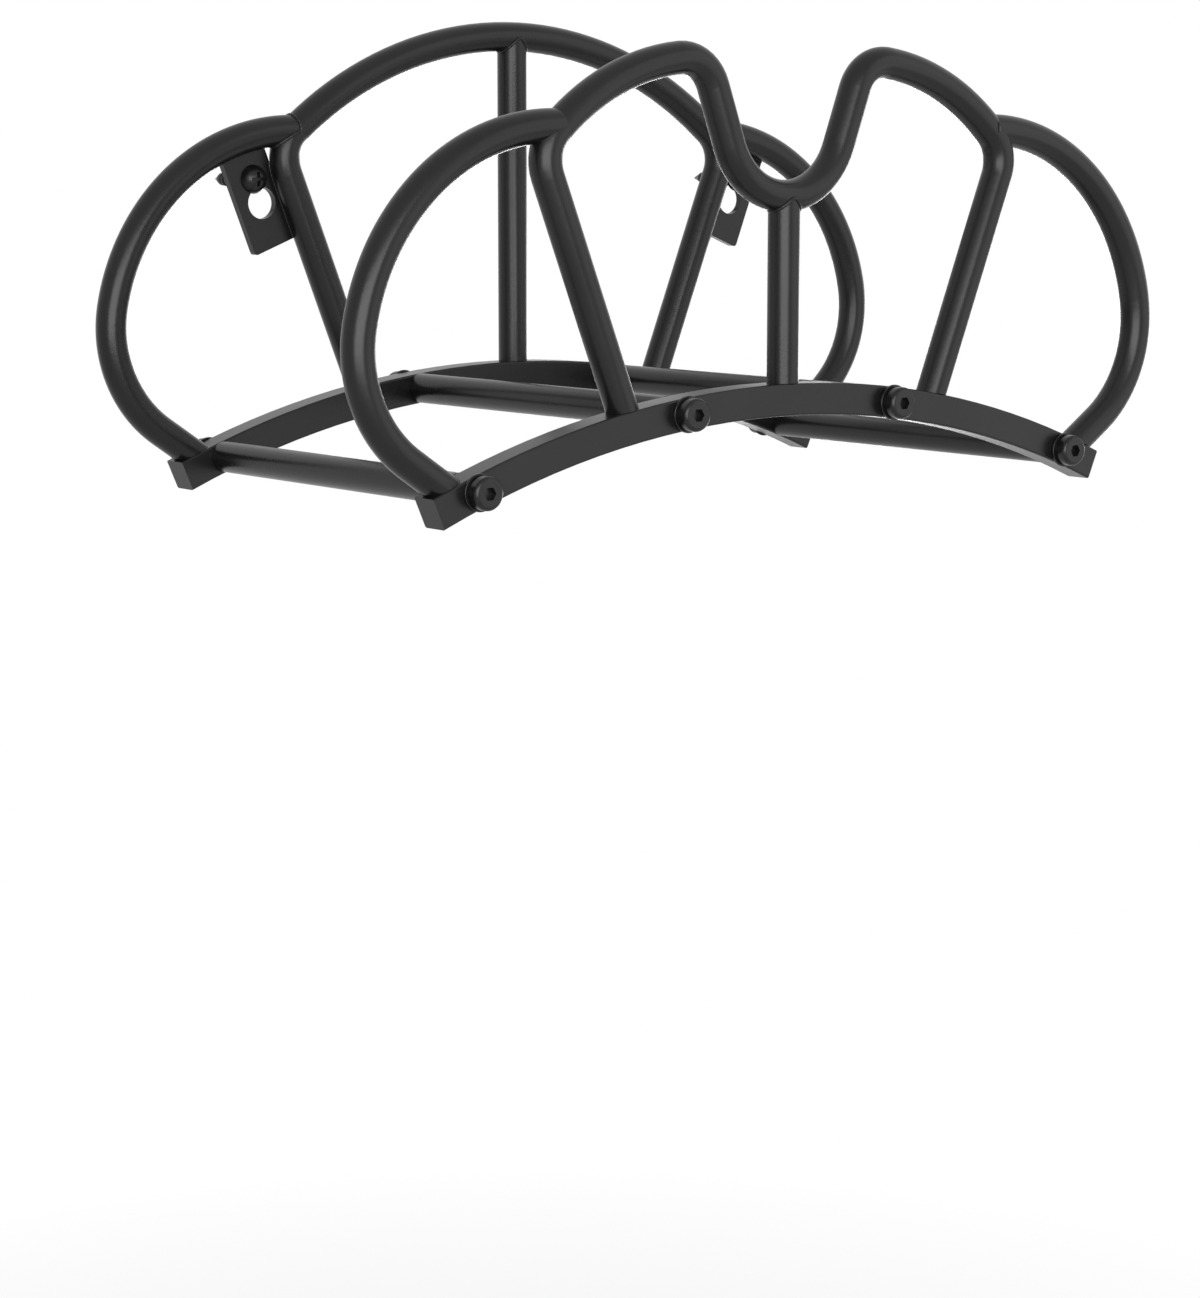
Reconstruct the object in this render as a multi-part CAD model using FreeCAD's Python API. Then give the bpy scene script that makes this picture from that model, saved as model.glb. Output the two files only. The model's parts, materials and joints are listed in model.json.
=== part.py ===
import FreeCAD
import Part

import math
import os

from FreeCAD import Vector

# A hose hanger for a wall: two welded frames of bent tube, held apart by four bolted tie tubes.
# X runs along the wall, +Y into the wall and Z up. The origin lies on the wall, midway between
# the two wall screws. All sizes are in millimetres and degrees.

# Tube, bar and plate stock
tube_diameter = 12.0
tube_wall = 1.5
rail_bar = 12.0
rail_corner_radius = 0.8
tab_thickness = 3.2

# The two frames
frame_spacing = 174.0
bend_radius = 15.0

# Rails: shallow arches that carry everything else
rail_radius = 400.0
rail_top_height = -81.0
rail_end_overhang = 18.2
inner_tie_offset = 50.0
outer_tie_offset = 142.0

# Posts: they splay outwards from the rail
post_foot_offset = 73.0
post_lean = 21.5

# Lobes: a large upper arc that passes over the wall screws, a smaller lower arc and a straight leg
lobe_centre_offset = 105.0
lobe_top_height = 19.0
lobe_upper_radius = 83.0
lobe_lower_radius = 47.5
lobe_blend_angle = 11.0
lobe_leg_lean = 55.5

# Front crown: two humps with a valley between them
hump_centre_offset = 39.5
hump_centre_height = -49.0
hump_radius = 93.0
valley_height = -6.0
valley_radius = 28.0
flank_lean = 20.0

# Back arch
arch_height = 57.5
arch_radius = 161.0

# Coped ends stop this far short of the other tube's centre line
cope_relief = 0.8

# Wall tabs, with a keyhole each: the wall screws stand where the keyholes are
keyhole_from_post = 13.44
tab_outer_margin = 10.6
tab_drop = 28.0
tab_corner_radius = 1.5
weld_lap = 1.8
keyhole_drop = 10.0
keyhole_radius = 6.2
keyhole_slot_clearance = 0.7

# Tie bolts, their washers and the plugs that they screw into
bolt_radius = 3.0
bolt_head_radius = 6.1
bolt_head_height = 3.9
bolt_head_rounding = 1.6
socket_across_flats = 4.4
socket_depth = 2.4
bolt_hole_clearance = 0.3
bolt_grip_in_plug = 11.0
washer_radius = 6.8
washer_thickness = 1.2
washer_edge_rounding = 0.3
lock_washer_radius = 5.4
lock_washer_thickness = 1.6
lock_washer_split = 1.2
lock_washer_split_angle = 20.0
washer_bore_clearance = 0.2
plug_length = 14.0
plug_bore_clearance = 0.05

# Wall screws: a plain neck under the head, then the threaded part that goes into the wall
screw_neck_radius = 2.2
screw_radius = 2.5
screw_depth_in_wall = 20.0
screw_point_length = 6.0
screw_head_radius = 5.7
screw_head_height = 4.4
screw_recess_width = 1.3
screw_recess_length = 5.6
screw_recess_depth = 2.6

# Values that follow from the sizes above
tube_radius = tube_diameter / 2
tube_bore_radius = tube_radius - tube_wall
rail_centre = (0.0, rail_top_height - rail_radius)
rail_outer_radius = rail_radius + rail_bar / 2
bolt_stack = washer_thickness + lock_washer_thickness + bolt_head_height
back_plane = -(rail_bar / 2 + bolt_stack)
front_plane = back_plane - frame_spacing
hump_centre = (hump_centre_offset, hump_centre_height)
arch_centre = (0.0, arch_height - arch_radius)
lobe_centre = (lobe_centre_offset, lobe_top_height - lobe_upper_radius)
tab_back = back_plane + tube_radius
tab_front = tab_back - tab_thickness
tab_inner_edge = tube_radius - weld_lap


def direction(angle):
    """Unit direction in a frame's plane, by its angle from +X towards +Z."""
    return (math.cos(math.radians(angle)), math.sin(math.radians(angle)))


def angle_of(vector):
    """Angle of a direction in a frame's plane, from +X towards +Z."""
    return math.degrees(math.atan2(vector[1], vector[0]))


def moved(point, way, distance):
    """The point at a distance from another, along a direction in the frame's plane."""
    return (point[0] + way[0] * distance, point[1] + way[1] * distance)


def minus(point, other):
    """Vector in the frame's plane from the other point to this one."""
    return (point[0] - other[0], point[1] - other[1])


def in_space(point, plane):
    """A point of a frame's plane as a point in space."""
    return Vector(point[0], plane, point[1])


def along_to_circle(start, way, centre, radius):
    """Distance along a line to where it last crosses a circle."""
    gap = minus(start, centre)
    along = gap[0] * way[0] + gap[1] * way[1]
    reach = gap[0] ** 2 + gap[1] ** 2 - radius ** 2
    return -along + math.sqrt(along ** 2 - reach)


def circle_crossing(centre, radius, other_centre, other_radius):
    """The upper one of the two points where two circles cross."""
    gap = minus(other_centre, centre)
    distance = math.hypot(gap[0], gap[1])
    along = (distance ** 2 + radius ** 2 - other_radius ** 2) / (2 * distance)
    across = math.sqrt(radius ** 2 - along ** 2)
    way = (gap[0] / distance, gap[1] / distance)
    middle = moved(centre, way, along)
    crossings = [moved(middle, (-way[1], way[0]), side * across) for side in (-1, 1)]
    return max(crossings, key=lambda point: point[1])


def line(start, end):
    """A straight stretch of a tube's path."""
    return {"kind": "line", "start": start, "end": end}


def arc(centre, radius, first_angle, last_angle):
    """A bent stretch of a tube's path."""
    return {"kind": "arc", "centre": centre, "radius": radius, "first": first_angle, "last": last_angle}


def mirrored(stretch):
    """The same stretch on the other side of the middle."""
    if stretch["kind"] == "line":
        return line((-stretch["start"][0], stretch["start"][1]), (-stretch["end"][0], stretch["end"][1]))
    centre = (-stretch["centre"][0], stretch["centre"][1])
    return arc(centre, stretch["radius"], 180.0 - stretch["first"], 180.0 - stretch["last"])


def rod_stretch(stretch, plane, radius):
    """A solid round bar along one stretch of a path."""
    if stretch["kind"] == "line":
        start = in_space(stretch["start"], plane)
        way = in_space(stretch["end"], plane) - start
        return Part.makeCylinder(radius, way.Length, start, way)
    first = direction(stretch["first"])
    start = in_space(moved(stretch["centre"], first, stretch["radius"]), plane)
    disc = Part.Face(Part.Wire(Part.makeCircle(radius, start, Vector(-first[1], 0, first[0]))))
    centre = in_space(stretch["centre"], plane)
    return disc.revolve(centre, Vector(0, -1, 0), stretch["last"] - stretch["first"])


def rod(path, plane, radius):
    """A solid round bar along a whole path."""
    stretches = [rod_stretch(stretch, plane, radius) for stretch in path]
    if len(stretches) == 1:
        return stretches[0]
    return stretches[0].multiFuse(stretches[1:])


def tube(path, plane):
    """A bent tube along a path."""
    return rod(path, plane, tube_radius).cut(rod(path, plane, tube_bore_radius))


def rail_height(offset):
    """Height of the rail's centre line at a distance from the middle."""
    return rail_centre[1] + math.sqrt(rail_radius ** 2 - offset ** 2)


def below_rail_top(plane):
    """Everything under a rail's curved top face: it trims the feet that stand on the rail."""
    base = in_space(rail_centre, plane - tube_diameter)
    return Part.makeCylinder(rail_outer_radius, 2 * tube_diameter, base, Vector(0, 1, 0))


def post_foot():
    """Where a post's centre line starts, inside the rail."""
    return (post_foot_offset, rail_height(post_foot_offset))


def post_way():
    """Direction of the right post, from the rail upwards."""
    return direction(90.0 - post_lean)


def bend_into_circle(start, way, side, centre, radius):
    """Centre of the tight bend that joins a straight stretch to the inside of a larger arc."""
    inward = (-way[1] * side, way[0] * side)
    offset_start = moved(start, inward, bend_radius)
    distance = along_to_circle(offset_start, way, centre, radius - bend_radius)
    return moved(offset_start, way, distance), inward


def splayed_post(centre, radius):
    """The right post with the bend at its top, and the angle where the larger arc takes over."""
    way = post_way()
    bend_centre, inward = bend_into_circle(post_foot(), way, 1, centre, radius)
    top = moved(bend_centre, inward, -bend_radius)
    arc_start = angle_of(minus(bend_centre, centre))
    bend = arc(bend_centre, bend_radius, angle_of((-inward[0], -inward[1])), arc_start)
    return [line(post_foot(), top), bend], arc_start


def crown_path():
    """Path of the front crown: post, hump, valley, hump and post."""
    outer_half, hump_start = splayed_post(hump_centre, hump_radius)
    valley_centre = (0.0, valley_height + valley_radius)
    flank_foot = moved(valley_centre, direction(-flank_lean), valley_radius)
    flank_way = direction(90.0 - flank_lean)
    turn_centre, outward = bend_into_circle(flank_foot, flank_way, -1, hump_centre, hump_radius)
    flank_top = moved(turn_centre, outward, -bend_radius)
    hump_end = angle_of(minus(turn_centre, hump_centre))
    turn_end = angle_of((-outward[0], -outward[1]))
    half = outer_half + [
        arc(hump_centre, hump_radius, hump_start, hump_end),
        arc(turn_centre, bend_radius, hump_end, turn_end),
        line(flank_top, flank_foot),
    ]
    valley = arc(valley_centre, valley_radius, flank_lean - 180.0, -flank_lean)
    return half + [valley] + [mirrored(stretch) for stretch in half]


def arch_path():
    """Path of the back arch: post, arch and post."""
    half, arch_start = splayed_post(arch_centre, arch_radius)
    arch = arc(arch_centre, arch_radius, arch_start, 180.0 - arch_start)
    return half + [arch] + [mirrored(stretch) for stretch in half]


def lobe_path(crown_centre, crown_radius):
    """Path of the right lobe, from the crown round to the rail."""
    meeting = circle_crossing(lobe_centre, lobe_upper_radius, crown_centre, crown_radius)
    relief_angle = math.degrees(cope_relief / lobe_upper_radius)
    top_angle = angle_of(minus(meeting, lobe_centre)) - relief_angle
    blend = direction(lobe_blend_angle)
    lower_centre = moved(lobe_centre, blend, lobe_upper_radius - lobe_lower_radius)
    leg_start = moved(lower_centre, direction(-lobe_leg_lean), lobe_lower_radius)
    leg_way = direction(-90.0 - lobe_leg_lean)
    # The leg runs on into the rail, down to the rail's centre line
    back_way = (-leg_way[0], -leg_way[1])
    leg_length = -along_to_circle(leg_start, back_way, rail_centre, rail_radius)
    return [
        arc(lobe_centre, lobe_upper_radius, top_angle, lobe_blend_angle),
        arc(lower_centre, lobe_lower_radius, lobe_blend_angle, -lobe_leg_lean),
        line(leg_start, moved(leg_start, leg_way, leg_length)),
    ]


def mirror_image(shape):
    """The same piece on the other side of the middle."""
    return shape.mirror(Vector(0, 0, 0), Vector(1, 0, 0))


def tie_places():
    """The tie tubes' names and their places in a frame's plane."""
    places = {}
    for name, offset in (("outer", outer_tie_offset), ("inner", inner_tie_offset)):
        places[name + "_left"] = (-offset, rail_height(offset))
        places[name + "_right"] = (offset, rail_height(offset))
    return places


def rail_half_angle():
    """Angle of the rail's arc from the middle to its end, a little past the outer tie."""
    tie_angle = math.asin(outer_tie_offset / rail_radius)
    return math.degrees(tie_angle + rail_end_overhang / rail_radius)


def rail(plane):
    """A square bar rolled to an arch, with a drilled hole for each tie bolt."""
    half = rail_bar / 2
    first_angle = 90.0 - rail_half_angle()
    block = Part.makeBox(rail_bar, rail_bar, rail_bar, Vector(-half, -half, 0))
    upright_edges = [edge for edge in block.Edges if edge.BoundBox.ZLength > half]
    rounded = block.makeFillet(rail_corner_radius, upright_edges)
    section = min(rounded.Faces, key=lambda face: face.CenterOfMass.z)
    placement = FreeCAD.Placement()
    placement.Rotation = FreeCAD.Rotation(Vector(0, -1, 0), first_angle)
    placement.Base = in_space(moved(rail_centre, direction(first_angle), rail_radius), plane)
    section.Placement = placement
    bar = section.revolve(in_space(rail_centre, plane), Vector(0, -1, 0), 2 * rail_half_angle())
    for place in tie_places().values():
        start = in_space(place, plane - rail_bar)
        hole = Part.makeCylinder(bolt_radius + bolt_hole_clearance, 2 * rail_bar, start, Vector(0, 1, 0))
        bar = bar.cut(hole)
    return bar


def standing_tube(path, plane, crown):
    """A tube that stands on the rail and is coped to the crown above it."""
    return tube(path, plane).cut(below_rail_top(plane)).cut(crown)


def centre_post_path(top):
    """Path of the upright in the middle of a frame."""
    return [line((0.0, rail_top_height), (0.0, top - cope_relief))]


def keyhole():
    """The right tab's keyhole, in the tab's own upright position at the origin."""
    slot_radius = screw_radius + keyhole_slot_clearance
    depth = 4 * tab_thickness
    start = Vector(0, -depth / 2, 0)
    corner = Vector(-slot_radius, -depth / 2, -keyhole_drop)
    slot = Part.makeBox(2 * slot_radius, depth, keyhole_drop, corner)
    rest = Part.makeCylinder(slot_radius, depth, start, Vector(0, 1, 0))
    entry = Part.makeCylinder(keyhole_radius, depth, start + Vector(0, 0, -keyhole_drop), Vector(0, 1, 0))
    return slot.multiFuse([rest, entry])


def screw_offset():
    """Distance of a wall screw from the middle: it stands in its keyhole, beside the post."""
    post_at_screw = post_foot_offset - post_foot()[1] * math.tan(math.radians(post_lean))
    return post_at_screw + keyhole_from_post / math.cos(math.radians(post_lean))


def wall_tab(arch, lobe):
    """The right wall tab: a plate between the post and the lobe, with its edges coped to both."""
    tab_width = keyhole_from_post - tab_inner_edge + tab_outer_margin
    corner = Vector(tab_inner_edge - keyhole_from_post, 0, -tab_drop)
    plate = Part.makeBox(tab_width, tab_thickness, tab_drop + lobe_upper_radius, corner)
    lower_edges = [
        edge
        for edge in plate.Edges
        if edge.BoundBox.YLength > tab_thickness / 2 and edge.BoundBox.ZMax < 0
    ]
    plate = plate.makeFillet(tab_corner_radius, lower_edges)
    plate = plate.cut(keyhole())
    placement = FreeCAD.Placement()
    placement.Rotation = FreeCAD.Rotation(Vector(0, 1, 0), post_lean)
    placement.Base = Vector(screw_offset(), tab_front, 0)
    plate.Placement = placement
    under_lobe = Part.makeCylinder(
        lobe_upper_radius - tube_radius + weld_lap,
        2 * tube_diameter,
        in_space(lobe_centre, back_plane - tube_diameter),
        Vector(0, 1, 0),
    )
    return plate.common(under_lobe).cut(arch).cut(lobe)


def tie_tube(place):
    """A straight tube between the two rails."""
    start = in_space(place, front_plane + rail_bar / 2)
    length = frame_spacing - rail_bar
    outside = Part.makeCylinder(tube_radius, length, start, Vector(0, 1, 0))
    return outside.cut(Part.makeCylinder(tube_bore_radius, length, start, Vector(0, 1, 0)))


def ring(radius, bore, thickness):
    """A flat ring on the XY plane, with its bore along Z."""
    return Part.makeCylinder(radius, thickness).cut(Part.makeCylinder(bore, thickness))


def threaded_plug():
    """A tapped plug that fills a tie tube's end, from its mouth at Z 0 upwards."""
    return ring(tube_bore_radius, bolt_radius + plug_bore_clearance, plug_length)


def flat_washer():
    """A flat washer that lies under the lock washer."""
    washer = ring(washer_radius, bolt_radius + washer_bore_clearance, washer_thickness)
    rims = [edge for edge in washer.Edges if edge.BoundBox.XLength > 2 * bolt_head_radius]
    rims = [edge for edge in rims if len(edge.Vertexes) == 1]
    return washer.makeFillet(washer_edge_rounding, rims)


def lock_washer():
    """A split spring washer."""
    washer = ring(lock_washer_radius, bolt_radius + washer_bore_clearance, lock_washer_thickness)
    slit_height = 3 * lock_washer_thickness
    corner = Vector(0, -lock_washer_split / 2, -slit_height / 2)
    slit = Part.makeBox(2 * lock_washer_radius, lock_washer_split, slit_height, corner)
    slit.rotate(Vector(0, 0, 0), Vector(1, 0, 0), lock_washer_split_angle)
    slit.translate(Vector(0, 0, lock_washer_thickness / 2))
    return washer.cut(slit)


def hexagon_prism(across_flats, height):
    """A six-sided prism on the XY plane."""
    corner = across_flats / math.sqrt(3)
    corners = [Vector(corner, 0, 0)]
    for index in range(1, 7):
        way = direction(60.0 * index)
        corners.append(Vector(corner * way[0], corner * way[1], 0))
    return Part.Face(Part.makePolygon(corners)).extrude(Vector(0, 0, height))


def tie_bolt():
    """A socket button-head bolt: its head stands on Z 0 and its shank points up."""
    head = Part.makeCylinder(bolt_head_radius, bolt_head_height, Vector(0, 0, -bolt_head_height))
    rim = [edge for edge in head.Edges if edge.BoundBox.ZMax < -bolt_head_height / 2]
    head = head.makeFillet(bolt_head_rounding, rim)
    socket = hexagon_prism(socket_across_flats, socket_depth)
    socket.translate(Vector(0, 0, -bolt_head_height))
    shank_length = washer_thickness + lock_washer_thickness + rail_bar + bolt_grip_in_plug
    shank = Part.makeCylinder(bolt_radius, shank_length)
    return head.fuse(shank).cut(socket)


def wall_screw():
    """A domed cross-recess screw: its head stands on Z 0 and its shank points up."""
    dome_radius = (screw_head_radius ** 2 + screw_head_height ** 2) / (2 * screw_head_height)
    dome = Part.makeSphere(dome_radius, Vector(0, 0, dome_radius - screw_head_height))
    head_foot = Vector(0, 0, -screw_head_height)
    head = dome.common(Part.makeCylinder(screw_head_radius, screw_head_height, head_foot))
    wall_face = -tab_front
    neck = Part.makeCylinder(screw_neck_radius, wall_face)
    shank_length = screw_depth_in_wall - screw_point_length
    shank = Part.makeCylinder(screw_radius, shank_length, Vector(0, 0, wall_face))
    point = Part.makeCone(screw_radius, 0, screw_point_length, Vector(0, 0, wall_face + shank_length))
    screw = head.multiFuse([neck, shank, point])
    for turn in (0, 90):
        blade = Part.makeBox(
            screw_recess_length,
            screw_recess_width,
            screw_recess_depth,
            Vector(-screw_recess_length / 2, -screw_recess_width / 2, -screw_head_height),
        )
        blade.rotate(Vector(0, 0, 0), Vector(0, 0, 1), turn)
        screw = screw.cut(blade)
    return screw


def set_into(shape, place, depth, inward):
    """Turn a fastener from its Z axis to the Y axis and put it at its place."""
    piece = shape.copy()
    piece.rotate(Vector(0, 0, 0), Vector(1, 0, 0), -90.0 * inward)
    piece.translate(in_space(place, depth))
    return piece


def at_every_rail_face(shape, outward_offset):
    """Copies of a fastener at each tie, on the outer faces of both rails."""
    copies = []
    for place in tie_places().values():
        copies.append(set_into(shape, place, front_plane - rail_bar / 2 - outward_offset, 1))
        copies.append(set_into(shape, place, back_plane + rail_bar / 2 + outward_offset, -1))
    return Part.makeCompound(copies)


def plugs_in_tubes():
    """A threaded plug in each end of each tie tube."""
    copies = []
    for place in tie_places().values():
        copies.append(set_into(threaded_plug(), place, front_plane + rail_bar / 2, 1))
        copies.append(set_into(threaded_plug(), place, back_plane - rail_bar / 2, -1))
    return Part.makeCompound(copies)


def build():
    """All pieces of the hanger, by name."""
    crown_rod = rod(crown_path(), front_plane, tube_radius)
    arch_rod = rod(arch_path(), back_plane, tube_radius)
    front_lobe_path = lobe_path(hump_centre, hump_radius)
    back_lobe_path = lobe_path(arch_centre, arch_radius)
    front_lobe = standing_tube(front_lobe_path, front_plane, crown_rod)
    back_lobe = standing_tube(back_lobe_path, back_plane, arch_rod)
    tab = wall_tab(arch_rod, rod(back_lobe_path, back_plane, tube_radius))
    pieces = {
        "front_rail": rail(front_plane),
        "front_crown": tube(crown_path(), front_plane).cut(below_rail_top(front_plane)),
        "front_right_lobe": front_lobe,
        "front_left_lobe": mirror_image(front_lobe),
        "front_centre_post": standing_tube(centre_post_path(valley_height), front_plane, crown_rod),
        "back_rail": rail(back_plane),
        "back_arch": tube(arch_path(), back_plane).cut(below_rail_top(back_plane)),
        "back_right_lobe": back_lobe,
        "back_left_lobe": mirror_image(back_lobe),
        "back_centre_post": standing_tube(centre_post_path(arch_height), back_plane, arch_rod),
        "right_wall_tab": tab,
        "left_wall_tab": mirror_image(tab),
        "threaded_plugs": plugs_in_tubes(),
        "flat_washers": at_every_rail_face(flat_washer(), washer_thickness),
        "lock_washers": at_every_rail_face(lock_washer(), washer_thickness + lock_washer_thickness),
        "tie_bolts": at_every_rail_face(tie_bolt(), washer_thickness + lock_washer_thickness),
    }
    for name, place in tie_places().items():
        pieces[name + "_tie_tube"] = tie_tube(place)
    screws = [set_into(wall_screw(), (side * screw_offset(), 0.0), tab_front, 1) for side in (-1, 1)]
    pieces["wall_screws"] = Part.makeCompound(screws)
    return pieces


os.makedirs("parts", exist_ok=True)
for node, shape in build().items():
    shape.exportStep("parts/" + node + ".step")
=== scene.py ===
"""Looks of a hose hanger: its finishes, weld seams, screw threads and a plain studio."""

import json
import logging
import math
from collections.abc import Collection
from dataclasses import dataclass, field
from enum import Enum
from typing import Any

import bmesh
import bpy
from mathutils import Euler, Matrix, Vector
from mathutils.bvhtree import BVHTree


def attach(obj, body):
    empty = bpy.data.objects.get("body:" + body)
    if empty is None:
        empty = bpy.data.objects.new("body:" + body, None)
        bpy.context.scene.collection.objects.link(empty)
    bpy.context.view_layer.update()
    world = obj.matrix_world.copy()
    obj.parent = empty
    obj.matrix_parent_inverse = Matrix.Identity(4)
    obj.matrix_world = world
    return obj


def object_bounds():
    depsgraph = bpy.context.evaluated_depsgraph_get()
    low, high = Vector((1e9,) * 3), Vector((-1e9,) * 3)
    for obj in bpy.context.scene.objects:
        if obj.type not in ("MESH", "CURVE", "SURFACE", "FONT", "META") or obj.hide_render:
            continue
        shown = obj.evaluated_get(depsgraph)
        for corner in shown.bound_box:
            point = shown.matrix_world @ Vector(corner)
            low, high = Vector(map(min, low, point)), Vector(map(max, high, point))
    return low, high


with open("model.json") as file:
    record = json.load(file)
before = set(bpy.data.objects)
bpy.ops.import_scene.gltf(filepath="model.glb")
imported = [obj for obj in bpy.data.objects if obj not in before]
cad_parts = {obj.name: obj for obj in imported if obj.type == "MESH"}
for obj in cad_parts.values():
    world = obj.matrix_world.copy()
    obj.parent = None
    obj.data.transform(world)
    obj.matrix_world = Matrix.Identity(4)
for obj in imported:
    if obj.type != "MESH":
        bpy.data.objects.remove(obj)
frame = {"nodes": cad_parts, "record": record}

log = logging.getLogger("hose_hanger")

Colour = tuple[float, float, float]

CAD_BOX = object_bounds()
BODY = "root"
MM = 0.001
FULL_TURN = 2 * math.pi
MERGE_DISTANCE = 1e-6
CORNER_ANGLE = math.radians(20)
NOISE_MEAN = 0.5
WHITE = (1.0, 1.0, 1.0, 1.0)
PHOTO_WIDTH = 1200
PHOTO_HEIGHT = 1298
SENSOR = 36.0


class Signal:
    """A node's output that takes part in arithmetic: each operator adds one Math node."""

    def __init__(self, bench: "Bench", socket: bpy.types.NodeSocket) -> None:
        """Keep the socket and the bench that adds nodes beside it."""
        self.bench = bench
        self.socket = socket

    def _math(self, operation: str, first: "Signal | float", second: "Signal | float") -> "Signal":
        """Add a Math node.

        Args:
            operation: The Math node's operation.
            first: A number or a signal.
            second: A number or a signal.

        Returns:
            The node's value as a signal.
        """
        sockets = {"Value": first, "Value_001": second}
        return self.bench.node("ShaderNodeMath", {"operation": operation}, sockets)["Value"]

    def __add__(self, other: "Signal | float") -> "Signal":
        """Sum with a number or a signal."""
        return self._math("ADD", self, other)

    def __radd__(self, other: float) -> "Signal":
        """Sum with a number on the left."""
        return self._math("ADD", other, self)

    def __sub__(self, other: "Signal | float") -> "Signal":
        """Difference from a number or a signal."""
        return self._math("SUBTRACT", self, other)

    def __rsub__(self, other: float) -> "Signal":
        """Difference of a number on the left."""
        return self._math("SUBTRACT", other, self)

    def __mul__(self, other: "Signal | float") -> "Signal":
        """Product with a number or a signal."""
        return self._math("MULTIPLY", self, other)

    def __rmul__(self, other: float) -> "Signal":
        """Product with a number on the left."""
        return self._math("MULTIPLY", other, self)

    def __truediv__(self, other: "Signal | float") -> "Signal":
        """Quotient by a number or a signal."""
        return self._math("DIVIDE", self, other)

    def __rtruediv__(self, other: float) -> "Signal":
        """Quotient of a number on the left."""
        return self._math("DIVIDE", other, self)

    def at_most(self, limit: "Signal | float") -> "Signal":
        """The smaller one of this and the limit."""
        return self._math("MINIMUM", self, limit)

    def at_least(self, limit: "Signal | float") -> "Signal":
        """The larger one of this and the limit."""
        return self._math("MAXIMUM", self, limit)

    def ramp(self, start: float, gain: float) -> "Signal":
        """Zero up to the start, then rising by the gain, and at most one."""
        return ((self - start) * gain).at_least(0.0).at_most(1.0)

    def sine(self) -> "Signal":
        """The sine of this angle in radians."""
        return self._math("SINE", self, 0.0)


class Bench:
    """Adds nodes to one node tree, of any type, through one method."""

    def __init__(self, tree: bpy.types.NodeTree) -> None:
        """Start with an empty tree."""
        self.tree = tree
        tree.nodes.clear()

    def node(
        self,
        kind: str,
        settings: dict[str, Any] | None = None,
        sockets: dict[str, Any] | None = None,
    ) -> dict[str, Signal]:
        """Add one node.

        Args:
            kind: The node's type.
            settings: Its properties, which are set first.
            sockets: Values or signals for its inputs, by name, or by identifier where names repeat.

        Returns:
            The node's outputs as signals, by name and by identifier.
        """
        added = self.tree.nodes.new(kind)
        for name, value in (settings or {}).items():
            setattr(added, name, value)
        inputs = self._by_name(added.inputs)
        for name, value in (sockets or {}).items():
            if isinstance(value, Signal):
                self.tree.links.new(value.socket, inputs[name])
            else:
                inputs[name].default_value = value
        return {name: Signal(self, socket) for name, socket in self._by_name(added.outputs).items()}

    @staticmethod
    def _by_name(sockets: Collection[bpy.types.NodeSocket]) -> dict[str, bpy.types.NodeSocket]:
        """Sockets by identifier, and by name where no identifier is the same."""
        return {each.name: each for each in sockets} | {each.identifier: each for each in sockets}


class NoiseScale(Enum):
    """Sizes of the irregularities in a coat, as cells in a metre."""

    CLOUD = 22.0
    PEEL = 620.0
    GRAIN = 2600.0


def object_noise(bench: Bench, scale: NoiseScale, layers: float) -> Signal:
    """Noise that is fixed to the object.

    Args:
        bench: Where the nodes are added.
        scale: Size of the noise.
        layers: Number of finer layers.

    Returns:
        The noise, around its mean.
    """
    place = bench.node("ShaderNodeTexCoord")["Object"]
    sockets = {"Vector": place, "Scale": scale.value, "Detail": layers}
    return bench.node("ShaderNodeTexNoise", None, sockets)["Fac"]


def mixed_colour(bench: Bench, factor: Signal, first: Signal | Colour, second: Signal | Colour) -> Signal:
    """A colour between two others.

    Args:
        bench: Where the node is added.
        factor: Share of the second colour.
        first: Colour at factor 0.
        second: Colour at factor 1.

    Returns:
        The mixed colour.
    """
    start, end = (each if isinstance(each, Signal) else (*each, 1.0) for each in (first, second))
    sockets = {"Factor_Float": factor, "A_Color": start, "B_Color": end}
    return bench.node("ShaderNodeMix", {"data_type": "RGBA"}, sockets)["Result_Color"]


def relief(bench: Bench, height: Signal, depth: float, strength: float) -> Signal:
    """Normals of a finely uneven surface.

    Args:
        bench: Where the node is added.
        height: The unevenness.
        depth: What a height of one stands for.
        strength: Share of the unevenness that shows.

    Returns:
        The bent normals.
    """
    sockets = {"Strength": strength, "Distance": depth, "Height": height}
    return bench.node("ShaderNodeBump", None, sockets)["Normal"]


def new_material(name: str) -> tuple[bpy.types.Material, Bench]:
    """Start a node material.

    Args:
        name: The material's name.

    Returns:
        The empty material and the bench for its nodes.
    """
    material = bpy.data.materials.new(name)
    material.use_nodes = True
    return material, Bench(material.node_tree)


def set_surface(bench: Bench, sockets: dict[str, Any]) -> None:
    """Add a material's Principled shader with these inputs, and its output."""
    shader = bench.node("ShaderNodeBsdfPrincipled", None, sockets)["BSDF"]
    bench.node("ShaderNodeOutputMaterial", None, {"Surface": shader})


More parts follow.
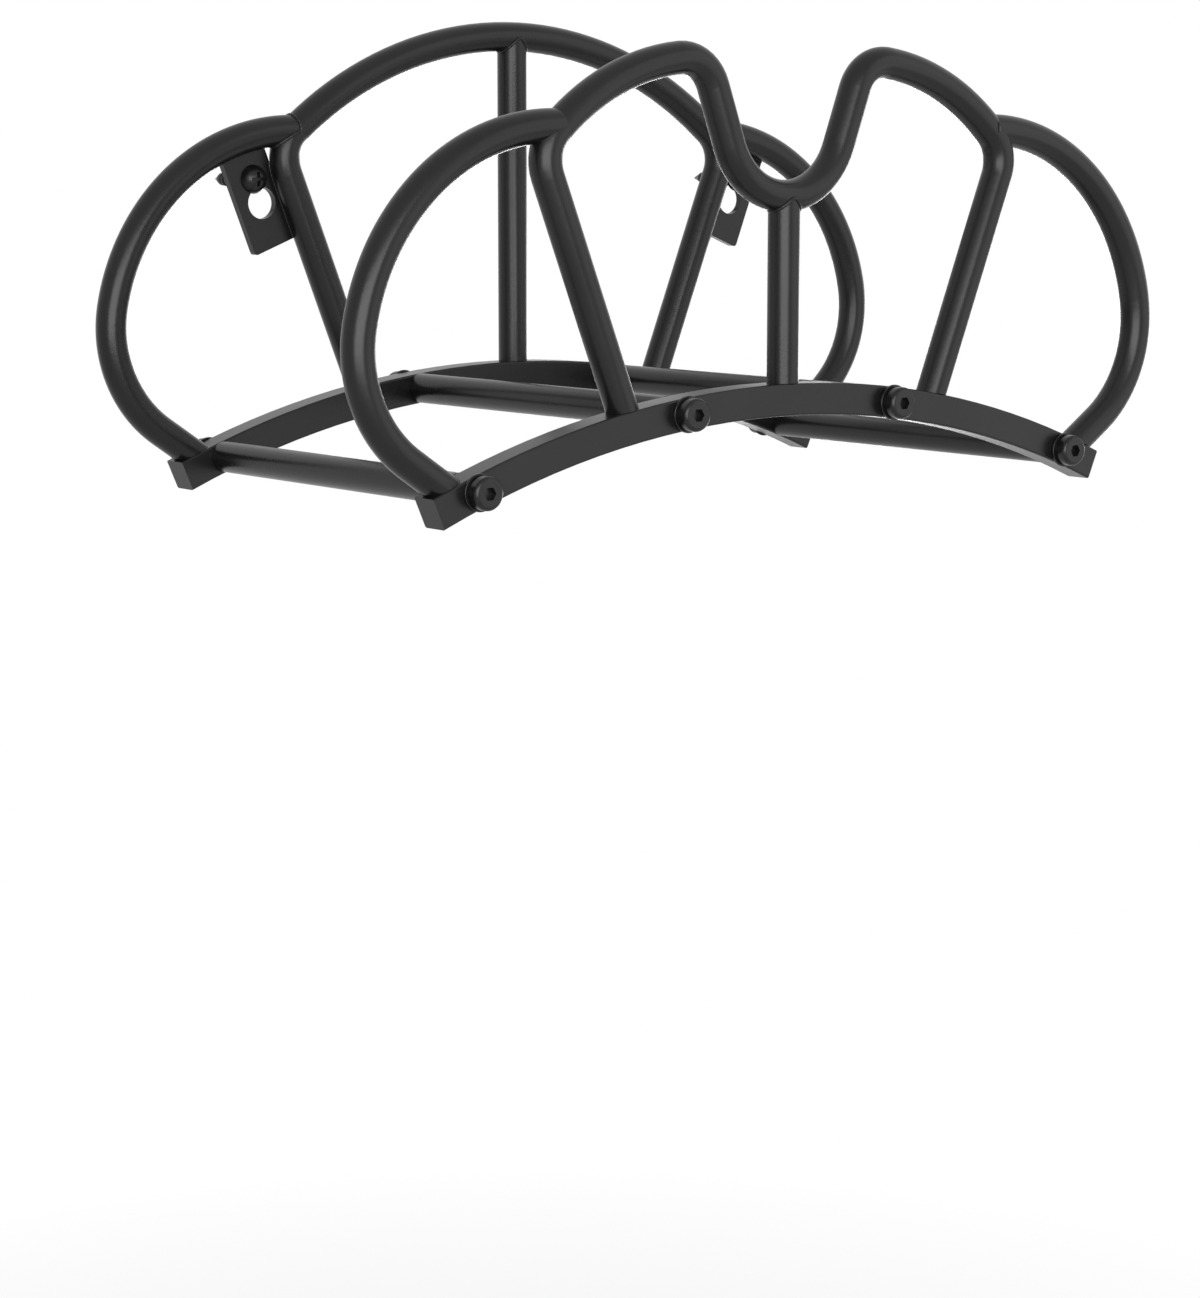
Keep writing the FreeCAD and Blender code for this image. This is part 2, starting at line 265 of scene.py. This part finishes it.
@dataclass(frozen=True)
class PowderCoat:
    """Satin black powder coat with a faint orange peel and a little dust on what faces up."""

    name: str = "satin_powder_coat"
    deep: Colour = (0.0042, 0.0042, 0.0045)
    faded: Colour = (0.0076, 0.0076, 0.0078)
    fade_start: float = 0.35
    fade_gain: float = 2.4
    dust: Colour = (0.0190, 0.0186, 0.0182)
    dust_share: float = 0.15
    dust_start: float = 0.35
    dust_gain: float = 1.6
    dust_roughness: float = 0.3
    roughness: float = 0.29
    cloud_roughness: float = 0.08
    grain_roughness: float = 0.06
    specular: float = 0.28
    peel_depth: float = 0.000045
    grain_depth: float = 0.000010
    relief_strength: float = 0.6

    def material(self) -> bpy.types.Material:
        """Build the coat.

        Returns:
            The coat's material.
        """
        material, bench = new_material(self.name)
        cloud = object_noise(bench, NoiseScale.CLOUD, layers=3.0)
        peel = object_noise(bench, NoiseScale.PEEL, layers=1.0)
        grain = object_noise(bench, NoiseScale.GRAIN, layers=2.0)
        normal = bench.node("ShaderNodeNewGeometry")["Normal"]
        upward = bench.node("ShaderNodeSeparateXYZ", None, {"Vector": normal})["Z"]
        dusting = upward.ramp(self.dust_start, self.dust_gain) * cloud * self.dust_share
        fading = cloud.ramp(self.fade_start, self.fade_gain)
        coat = mixed_colour(bench, fading, self.deep, self.faded)
        clouding = (cloud - NOISE_MEAN) * self.cloud_roughness
        graining = (grain - NOISE_MEAN) * self.grain_roughness
        height = peel * (self.peel_depth / self.grain_depth) + grain
        set_surface(
            bench,
            {
                "Base Color": mixed_colour(bench, dusting, coat, self.dust),
                "Roughness": self.roughness + clouding + graining + dusting * self.dust_roughness,
                "Specular IOR Level": self.specular,
                "Normal": relief(bench, height, self.grain_depth, self.relief_strength),
            },
        )
        return material


@dataclass(frozen=True)
class BlackOxide:
    """Oiled black oxide of bolts, washers and screws, with faint rubbed patches."""

    name: str = "black_oxide"
    dark: Colour = (0.0055, 0.0055, 0.0060)
    rubbed: Colour = (0.0130, 0.0128, 0.0126)
    rub_start: float = 0.45
    rub_gain: float = 1.8
    roughness: float = 0.30
    rub_roughness: float = 0.14
    grain_roughness: float = 0.08
    specular: float = 0.28
    grain_depth: float = 0.000006
    relief_strength: float = 0.5

    def material(self) -> bpy.types.Material:
        """Build the oxide.

        Returns:
            The oxide's material.
        """
        material, bench = new_material(self.name)
        rub = object_noise(bench, NoiseScale.PEEL, layers=3.0)
        grain = object_noise(bench, NoiseScale.GRAIN, layers=2.0)
        patches = rub.ramp(self.rub_start, self.rub_gain)
        rubbing = (rub - NOISE_MEAN) * self.rub_roughness
        graining = (grain - NOISE_MEAN) * self.grain_roughness
        set_surface(
            bench,
            {
                "Base Color": mixed_colour(bench, patches, self.dark, self.rubbed),
                "Roughness": self.roughness + rubbing + graining,
                "Specular IOR Level": self.specular,
                "Normal": relief(bench, grain, self.grain_depth, self.relief_strength),
            },
        )
        return material


@dataclass(frozen=True)
class TurnedSteel:
    """Plain steel from a lathe, with fine rings along Y."""

    name: str = "turned_steel"
    light: Colour = (0.42, 0.42, 0.42)
    dark: Colour = (0.26, 0.26, 0.27)
    roughness: float = 0.34
    ring_roughness: float = 0.08
    ring_pitch: float = 0.00025
    ring_share: float = 0.6
    ring_waver: float = 2.0

    def material(self) -> bpy.types.Material:
        """Build the steel.

        Returns:
            The steel's material.
        """
        material, bench = new_material(self.name)
        place = bench.node("ShaderNodeTexCoord")["Object"]
        along = bench.node("ShaderNodeSeparateXYZ", None, {"Vector": place})["Y"]
        cloud = object_noise(bench, NoiseScale.PEEL, layers=3.0)
        ring = (along * (FULL_TURN / self.ring_pitch) + cloud * self.ring_waver).sine() * 0.5 + 0.5
        shine = ring * self.ring_share + cloud * (1.0 - self.ring_share)
        set_surface(
            bench,
            {
                "Base Color": mixed_colour(bench, shine, self.dark, self.light),
                "Roughness": self.roughness + ring * self.ring_roughness,
                "Metallic": 1.0,
            },
        )
        return material


def dress(node: str, material: bpy.types.Material) -> None:
    """Give a CAD node its finish.

    Args:
        node: The node's name.
        material: The finish.
    """
    mesh = frame["nodes"][node].data
    mesh.materials.clear()
    mesh.materials.append(material)
    log.info("dressed %s in %s", node, material.name)


def linked(name: str, mesh: bpy.types.Mesh) -> bpy.types.Object:
    """Put a mesh into the scene.

    Args:
        name: The object's name.
        mesh: The mesh.

    Returns:
        Its new object.
    """
    piece = bpy.data.objects.new(name, mesh)
    bpy.context.scene.collection.objects.link(piece)
    return piece


def new_group(name: str, inputs: dict[str, str]) -> tuple[bpy.types.NodeTree, Bench, dict[str, Signal]]:
    """An empty Geometry Nodes tree.

    Args:
        name: The tree's name.
        inputs: The names of its inputs and their socket types, after the geometry.

    Returns:
        The tree, its bench, and its inputs as signals by name.
    """
    group = bpy.data.node_groups.new(name, "GeometryNodeTree")
    group.interface.new_socket("Geometry", in_out="INPUT", socket_type="NodeSocketGeometry")
    for label, kind in inputs.items():
        group.interface.new_socket(label, in_out="INPUT", socket_type=kind)
    group.interface.new_socket("Geometry", in_out="OUTPUT", socket_type="NodeSocketGeometry")
    bench = Bench(group)
    return group, bench, bench.node("NodeGroupInput")


def swept_bar(bench: Bench, path: Signal, swell: Signal, section: dict[str, Signal]) -> Signal:
    """A smooth, closed bar along a path.

    Args:
        bench: Where the nodes are added.
        path: The curve that it follows.
        swell: Its thickness along the path, as a share of the section's.
        section: Resolution and radius of its round section.

    Returns:
        The bar's mesh.
    """
    circle = bench.node("GeometryNodeCurvePrimitiveCircle", None, section)["Curve"]
    sockets = {"Curve": path, "Profile Curve": circle, "Scale": swell, "Fill Caps": True}
    bar = bench.node("GeometryNodeCurveToMesh", None, sockets)["Mesh"]
    return bench.node("GeometryNodeSetShadeSmooth", None, {"Geometry": bar})["Geometry"]


def end_tree(bench: Bench, geometry: Signal, finish: Signal) -> None:
    """End a tree with plain, finished geometry.

    Args:
        bench: Where the nodes are added.
        geometry: What the tree has made.
        finish: Its material.
    """
    plain = bench.node("GeometryNodeRealizeInstances", None, {"Geometry": geometry})["Geometry"]
    sockets = {"Geometry": plain, "Material": finish}
    finished = bench.node("GeometryNodeSetMaterial", None, sockets)["Geometry"]
    bench.node("NodeGroupOutput", None, {"Geometry": finished})


def run_tree(piece: bpy.types.Object, group: bpy.types.NodeTree, values: dict[str, Any]) -> None:
    """Run a Geometry Nodes tree on a piece and keep the result as its plain mesh.

    Args:
        piece: The piece.
        group: The tree.
        values: The inputs' values, by their names.
    """
    modifier = piece.modifiers.new(group.name, "NODES")
    modifier.node_group = group
    for item in group.interface.items_tree:
        if item.item_type == "SOCKET" and item.in_out == "INPUT" and item.name in values:
            modifier[item.identifier] = values[item.name]
    graph = bpy.context.evaluated_depsgraph_get()
    mesh = bpy.data.meshes.new_from_object(piece.evaluated_get(graph))
    piece.modifiers.clear()
    piece.data = mesh


class SeamShape(Enum):
    """How a weld seam runs: round a tube's cut end, or along a plate's front edge."""

    RING = "ring"
    EDGE = "edge"


@dataclass(frozen=True)
class WeldSeam:
    """A seam where one node's cut ends meet a neighbour."""

    node: str
    neighbour: str
    shape: SeamShape = SeamShape.RING

    def lines(self, reach: float) -> list[list[Vector]]:
        """Find where the node's cut ends lie on the neighbour.

        Args:
            reach: How near a point of the cut end lies to the neighbour.

        Returns:
            Each seam's points in order; a seam that closes on itself ends with its first point.
        """
        surface = search_tree(self.neighbour)
        copy = merged_copy(self.node)
        near = {vert for vert in copy.verts if surface.find_nearest(vert.co, reach)[0] is not None}
        edges = [edge for edge in copy.edges if near.issuperset(edge.verts) and is_sharp(edge)]
        if self.shape is SeamShape.EDGE:
            edges = front_edges(edges)
        runs = chains(edges)
        copy.free()
        return outer_runs(runs) if self.shape is SeamShape.RING else runs


def search_tree(node: str) -> BVHTree:
    """A search tree over a CAD node's triangles."""
    mesh = frame["nodes"][node].data
    return BVHTree.FromPolygons([v.co for v in mesh.vertices], [p.vertices for p in mesh.polygons])


def merged_copy(node: str) -> bmesh.types.BMesh:
    """Copy a CAD node's mesh and join its loose triangles.

    Args:
        node: The node's name.

    Returns:
        The joined copy, which the caller frees.
    """
    copy = bmesh.new()
    copy.from_mesh(frame["nodes"][node].data)
    bmesh.ops.remove_doubles(copy, verts=copy.verts, dist=MERGE_DISTANCE)
    return copy


def is_sharp(edge: bmesh.types.BMEdge) -> bool:
    """Whether two faces meet in a corner at an edge."""
    return len(edge.link_faces) == 2 and edge.calc_face_angle() > CORNER_ANGLE


def front_edges(edges: list[bmesh.types.BMEdge], depth: float = 0.0002) -> list[bmesh.types.BMEdge]:
    """The edges that lie on a plate's front face.

    Args:
        edges: Edges of the plate.
        depth: How far behind the frontmost point still counts as the front face.

    Returns:
        Those edges.
    """
    front = min(vert.co.y for edge in edges for vert in edge.verts)
    return [edge for edge in edges if all(vert.co.y < front + depth for vert in edge.verts)]


def chains(edges: list[bmesh.types.BMEdge]) -> list[list[Vector]]:
    """Join edges end to end.

    Args:
        edges: The edges, in any order.

    Returns:
        The points of each run in order; a closed run ends with its first point.
    """
    left = dict.fromkeys(edges)
    runs = []
    while left:
        first = next(iter(left))
        del left[first]
        run = list(first.verts)
        for _ in range(2):
            run.reverse()
            onward = next((edge for edge in run[-1].link_edges if edge in left), None)
            while onward:
                del left[onward]
                run.append(onward.other_vert(run[-1]))
                onward = next((edge for edge in run[-1].link_edges if edge in left), None)
        runs.append([vert.co.copy() for vert in run])
    return runs


def run_length(run: list[Vector]) -> float:
    """Length of a run of points."""
    return sum((second - first).length for first, second in zip(run, run[1:]))


def outer_runs(runs: list[list[Vector]], spread: float = 0.02) -> list[list[Vector]]:
    """Keep the outline of each cut tube end and drop the bore's.

    Args:
        runs: Runs round the ends, outside and in the bore.
        spread: Runs whose middles are nearer than this belong to one end.

    Returns:
        The longest run of each end.
    """
    kept: list[tuple[Vector, list[Vector]]] = []
    for run in sorted(runs, key=run_length, reverse=True):
        middle = sum(run, Vector()) / len(run)
        if all((middle - other).length > spread for other, _ in kept):
            kept.append((middle, run))
    return [run for _, run in kept]


@dataclass
class WeldBead:
    """The coated fillet weld that fills the corner of each joint."""

    radius: float = 0.0007
    step: float = 0.0005
    ripple_pitch: float = 0.0018
    ripple: float = 0.07
    sides: int = 10
    reach: float = 0.00015

    def tree(self) -> bpy.types.NodeTree:
        """Build the tree that sweeps a rippled bead along each seam.

        Returns:
            The tree.
        """
        group, bench, given = new_group(
            "weld_bead",
            {
                "Radius": "NodeSocketFloat",
                "Step": "NodeSocketFloat",
                "Ripple pitch": "NodeSocketFloat",
                "Ripple": "NodeSocketFloat",
                "Sides": "NodeSocketInt",
                "Finish": "NodeSocketMaterial",
            },
        )
        seam = bench.node("GeometryNodeMeshToCurve", None, {"Mesh": given["Geometry"]})["Curve"]
        sockets = {"Curve": seam, "Length": given["Step"]}
        seam = bench.node("GeometryNodeResampleCurve", {"mode": "LENGTH"}, sockets)["Curve"]
        travelled = bench.node("GeometryNodeSplineParameter")["Length"]
        swell = (travelled / given["Ripple pitch"] * FULL_TURN).sine() * given["Ripple"] + 1.0
        section = {"Resolution": given["Sides"], "Radius": given["Radius"]}
        end_tree(bench, swept_bar(bench, seam, swell, section), given["Finish"])
        return group

    def drawing(self, name: str, seams: list[WeldSeam]) -> bpy.types.Mesh:
        """Draw the seams as lines.

        Args:
            name: The mesh's name.
            seams: The seams.

        Returns:
            A mesh of edges along every seam.
        """
        lines = bmesh.new()
        for seam in seams:
            for run in seam.lines(self.reach):
                corners = [lines.verts.new(point) for point in run]
                for first, second in zip(corners, corners[1:]):
                    lines.edges.new((first, second))
        bmesh.ops.remove_doubles(lines, verts=lines.verts, dist=MERGE_DISTANCE)
        mesh = bpy.data.meshes.new(name)
        lines.to_mesh(mesh)
        lines.free()
        return mesh

    def build(self, name: str, seams: list[WeldSeam], finish: bpy.types.Material) -> None:
        """Lay a bead on each seam, as one piece that rides on the hanger.

        Args:
            name: The piece's name.
            seams: The seams.
            finish: The coat over the welds.
        """
        piece = linked(name, self.drawing(name, seams))
        values = {
            "Radius": self.radius,
            "Step": self.step,
            "Ripple pitch": self.ripple_pitch,
            "Ripple": self.ripple,
            "Sides": self.sides,
            "Finish": finish,
        }
        run_tree(piece, self.tree(), values)
        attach(piece, BODY)
        log.info("built %s on %d joints", name, len(seams))


@dataclass
class TubeFrame:
    """One welded frame: a rail, its crown or arch, two lobes and the centre post."""

    side: str
    crown: str
    bead: WeldBead = field(default_factory=WeldBead)

    def rail(self) -> str:
        """The rail's node."""
        return f"{self.side}_rail"

    def standing(self) -> list[str]:
        """The nodes of the two lobes and the centre post."""
        return [f"{self.side}_{name}" for name in ("left_lobe", "right_lobe", "centre_post")]

    def seams(self) -> list[WeldSeam]:
        """Every weld of the frame's tubes, at their feet and then at the crown."""
        feet = [WeldSeam(node, self.rail()) for node in [self.crown, *self.standing()]]
        return feet + [WeldSeam(node, self.crown) for node in self.standing()]

    def build(self, coat: bpy.types.Material) -> None:
        """Lay the frame's welds."""
        self.bead.build(f"{self.side}_frame_welds", self.seams(), coat)

    def dress(self, coat: bpy.types.Material) -> None:
        """Coat the frame's tubes and bar."""
        for node in [self.rail(), self.crown, *self.standing()]:
            dress(node, coat)


@dataclass
class WallTabs:
    """The two keyhole plates of the back frame."""

    arch: str = "back_arch"
    hands: tuple[str, ...] = ("left", "right")
    bead: WeldBead = field(default_factory=lambda: WeldBead(radius=0.0006))

    def build(self, coat: bpy.types.Material) -> None:
        """Lay the welds along the plates' front edges.

        Args:
            coat: The coat over the welds.
        """
        seams = []
        for hand in self.hands:
            for neighbour in (self.arch, f"back_{hand}_lobe"):
                seams.append(WeldSeam(f"{hand}_wall_tab", neighbour, SeamShape.EDGE))
        self.bead.build("wall_tab_welds", seams, coat)

    def dress(self, coat: bpy.types.Material) -> None:
        """Coat both plates."""
        for hand in self.hands:
            dress(f"{hand}_wall_tab", coat)


@dataclass
class TieRods:
    """The four tie tubes with their plugs, bolts and washers."""

    places: tuple[str, ...] = ("outer_left", "inner_left", "inner_right", "outer_right")
    hardware: tuple[str, ...] = ("tie_bolts", "flat_washers", "lock_washers")
    plugs: str = "threaded_plugs"

    def dress(
        self, coat: bpy.types.Material, oxide: bpy.types.Material, steel: bpy.types.Material
    ) -> None:
        """Coat the tubes, blacken the bolts and washers, and leave the plugs bare.

        Args:
            coat: Finish of the tubes.
            oxide: Finish of the bolts and washers.
            steel: Finish of the plugs.
        """
        for place in self.places:
            dress(f"{place}_tie_tube", coat)
        for node in self.hardware:
            dress(node, oxide)
        dress(self.plugs, steel)


@dataclass
class WallScrews:
    """The two screws that the hanger hangs on, with a rolled thread on what goes into the wall."""

    node: str = "wall_screws"
    mount: str = "wall_screws"
    pitch: float = 0.0022
    ridge: float = 0.00055
    ridge_sides: int = 6
    thin_end: float = 0.05
    sink: float = 0.0001
    start: float = 0.002
    point_length: float = 0.0065
    steps_per_turn: int = 28
    shank_radius: float = field(init=False)
    axes: list[float] = field(init=False)
    end: float = field(init=False)

    def __post_init__(self) -> None:
        """Read the shanks' places and radius from the record, and their length from the CAD box."""
        dims = next(each["dims"] for each in frame["record"]["mounts"] if each["name"] == self.mount)
        self.shank_radius = dims["stud_r_mm"] * MM
        offset = dims["pcd_mm"] / 2 * MM
        self.axes = [-offset, offset]
        self.end = CAD_BOX[1][1] - self.point_length

    def tree(self) -> bpy.types.NodeTree:
        """Build the tree that winds a thread and puts one at each screw.

        Returns:
            The tree.
        """
        group, bench, given = new_group(
            "screw_thread",
            {
                "Core radius": "NodeSocketFloat",
                "Pitch": "NodeSocketFloat",
                "Ridge": "NodeSocketFloat",
                "Sides": "NodeSocketInt",
                "Thin end": "NodeSocketFloat",
                "Length": "NodeSocketFloat",
                "Steps per turn": "NodeSocketInt",
                "Finish": "NodeSocketMaterial",
            },
        )
        turns = given["Length"] / given["Pitch"]
        helix = bench.node(
            "GeometryNodeCurveSpiral",
            None,
            {
                "Resolution": given["Steps per turn"],
                "Rotations": turns,
                "Start Radius": given["Core radius"],
                "End Radius": given["Core radius"],
                "Height": given["Length"],
            },
        )["Curve"]
        run = bench.node("GeometryNodeSplineParameter")["Factor"]
        from_ends = (run * turns).at_most((1.0 - run) * turns)
        taper = from_ends.at_most(1.0).at_least(given["Thin end"])
        section = {"Resolution": given["Sides"], "Radius": given["Ridge"]}
        ridge = swept_bar(bench, helix, taper, section)
        sockets = {"Points": given["Geometry"], "Instance": ridge}
        wound = bench.node("GeometryNodeInstanceOnPoints", None, sockets)["Instances"]
        sockets = {"Instances": wound, "Rotation": Euler((-math.pi / 2, 0.0, 0.0))}
        turned = bench.node("GeometryNodeRotateInstances", None, sockets)["Instances"]
        end_tree(bench, turned, given["Finish"])
        return group

    def build(self, oxide: bpy.types.Material) -> None:
        """Wind both threads, as one piece that rides on the hanger.

        Args:
            oxide: The screws' finish.
        """
        mesh = bpy.data.meshes.new("wall_screw_threads")
        mesh.from_pydata([(axis, self.start, 0.0) for axis in self.axes], [], [])
        piece = linked("wall_screw_threads", mesh)
        values = {
            "Core radius": self.shank_radius - self.sink,
            "Pitch": self.pitch,
            "Ridge": self.ridge,
            "Sides": self.ridge_sides,
            "Thin end": self.thin_end,
            "Length": self.end - self.start,
            "Steps per turn": self.steps_per_turn,
            "Finish": oxide,
        }
        run_tree(piece, self.tree(), values)
        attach(piece, BODY)
        log.info("built wall_screw_threads")

    def dress(self, oxide: bpy.types.Material) -> None:
        """Blacken the screws."""
        dress(self.node, oxide)


def around(azimuth: float, elevation: float) -> Vector:
    """Point away from the hanger.

    Args:
        azimuth: Degrees round from its front, to the right.
        elevation: Degrees up.

    Returns:
        The unit direction.
    """
    turn = math.radians(azimuth)
    rise = math.radians(elevation)
    return Vector((math.sin(turn) * math.cos(rise), -math.cos(turn) * math.cos(rise), math.sin(rise)))


@dataclass(frozen=True)
class SoftBox:
    """A soft rectangular lamp that looks at a point."""

    name: str
    azimuth: float
    elevation: float
    distance: float
    width: float
    height: float
    power: float

    def build(self, target: Vector) -> None:
        """Hang the lamp.

        Args:
            target: The point it looks at.
        """
        light = bpy.data.lights.new(self.name, "AREA")
        light.shape = "RECTANGLE"
        light.size = self.width
        light.size_y = self.height
        light.energy = self.power
        lamp = bpy.data.objects.new(self.name, light)
        away = around(self.azimuth, self.elevation)
        lamp.location = target + away * self.distance
        lamp.rotation_euler = away.to_track_quat("Z", "Y").to_euler()
        lamp.visible_camera = False
        bpy.context.scene.collection.objects.link(lamp)
        log.info("hung %s", self.name)


@dataclass
class Studio:
    """A pale floor well below the hanger, white surroundings, soft lamps and the camera."""

    camera_focus: tuple[float, float, float] = (-0.0852, -0.1867, -0.1678)
    camera_azimuth: float = -36.874
    camera_elevation: float = 8.612
    camera_distance: float = 1.1483
    focal_length_px: float = 3173.4
    floor_height: float = -0.62
    floor_size: float = 12.0
    floor_colour: Colour = (0.86, 0.86, 0.85)
    floor_glow: float = 0.8
    fade_start: float = 0.2
    fade_end: float = 0.6
    ambient: float = 0.2
    lamps: tuple[SoftBox, ...] = (
        SoftBox("key_softbox", -30.0, 6.0, distance=1.5, width=1.5, height=0.85, power=23.0),
        SoftBox("fill_softbox", 38.0, 10.0, distance=1.7, width=1.2, height=1.8, power=5.5),
        SoftBox("rear_softbox", 122.0, -9.0, distance=1.7, width=1.2, height=0.45, power=6.0),
        SoftBox("back_softbox", 143.0, -8.0, distance=1.7, width=0.5, height=0.5, power=3.5),
    )

    def build(self) -> None:
        """Set up everything round the hanger."""
        scene = bpy.context.scene
        scene.view_settings.view_transform = "Standard"
        self._world(scene)
        self._floor()
        middle = (Vector(CAD_BOX[0]) + Vector(CAD_BOX[1])) / 2
        for lamp in self.lamps:
            lamp.build(middle)
        self._camera(scene)

    @staticmethod
    def _seen_directly(bench: Bench) -> Signal:
        """One for rays that see the backdrop itself, from the camera, in gloss or through glass."""
        rays = bench.node("ShaderNodeLightPath")
        return rays["Is Camera Ray"].at_least(rays["Is Glossy Ray"]).at_least(rays["Is Transmission Ray"])

    def _world(self, scene: bpy.types.Scene) -> None:
        """White surroundings that light the hanger at a plain level.

        Args:
            scene: The scene that they surround.
        """
        world = bpy.data.worlds.new("white_studio")
        world.use_nodes = True
        scene.world = world
        bench = Bench(world.node_tree)
        seen = self._seen_directly(bench)
        sockets = {"Color": WHITE, "Strength": seen + (1.0 - seen) * self.ambient}
        glow = bench.node("ShaderNodeBackground", None, sockets)["Background"]
        bench.node("ShaderNodeOutputWorld", None, {"Surface": glow})

    def _floor_material(self) -> bpy.types.Material:
        """Build a matt floor that turns into the white surroundings away from the hanger.

        Returns:
            The floor's material.
        """
        material, bench = new_material("pale_floor")
        matt = bench.node("ShaderNodeBsdfDiffuse", None, {"Color": (*self.floor_colour, 1.0)})["BSDF"]
        white = bench.node("ShaderNodeEmission", None, {"Color": WHITE, "Strength": 1.0})["Emission"]
        place = bench.node("ShaderNodeTexCoord")["Object"]
        out = bench.node("ShaderNodeVectorMath", {"operation": "LENGTH"}, {"Vector": place})["Value"]
        fade = out.ramp(self.fade_start, 1.0 / (self.fade_end - self.fade_start))
        glow = self.floor_glow + fade * (1.0 - self.floor_glow)
        sockets = {"Fac": self._seen_directly(bench) * glow, "Shader": matt, "Shader_001": white}
        mixed = bench.node("ShaderNodeMixShader", None, sockets)["Shader"]
        bench.node("ShaderNodeOutputMaterial", None, {"Surface": mixed})
        return material

    def _floor(self) -> None:
        """A pale floor that fades into the white surroundings and keeps the shadow."""
        half = self.floor_size / 2
        mesh = bpy.data.meshes.new("studio_floor")
        corners = [(-half, -half), (half, -half), (half, half), (-half, half)]
        mesh.from_pydata([(x, y, 0.0) for x, y in corners], [], [(0, 1, 2, 3)])
        mesh.materials.append(self._floor_material())
        floor = linked("studio_floor", mesh)
        floor.location.z = self.floor_height

    def _camera(self, scene: bpy.types.Scene) -> None:
        """The camera at the photograph's viewing angle.

        Args:
            scene: The scene that it shows.
        """
        lens = bpy.data.cameras.new("photo_camera")
        lens.sensor_width = SENSOR
        lens.lens = self.focal_length_px / max(PHOTO_WIDTH, PHOTO_HEIGHT) * SENSOR
        camera = bpy.data.objects.new("photo_camera", lens)
        away = around(self.camera_azimuth, self.camera_elevation)
        camera.location = Vector(self.camera_focus) + away * self.camera_distance
        camera.rotation_euler = away.to_track_quat("Z", "Y").to_euler()
        scene.collection.objects.link(camera)
        scene.camera = camera


def main() -> None:
    """Build and dress the hanger, then the studio."""
    logging.basicConfig(level=logging.INFO, format="%(name)s: %(message)s")
    coat = PowderCoat().material()
    oxide = BlackOxide().material()
    steel = TurnedSteel().material()
    for tube_frame in (TubeFrame("front", "front_crown"), TubeFrame("back", "back_arch")):
        tube_frame.build(coat)
        tube_frame.dress(coat)
    tabs = WallTabs()
    tabs.build(coat)
    tabs.dress(coat)
    TieRods().dress(coat, oxide, steel)
    screws = WallScrews()
    screws.build(oxide)
    screws.dress(oxide)
    Studio().build()


if __name__ == "__main__":
    main()
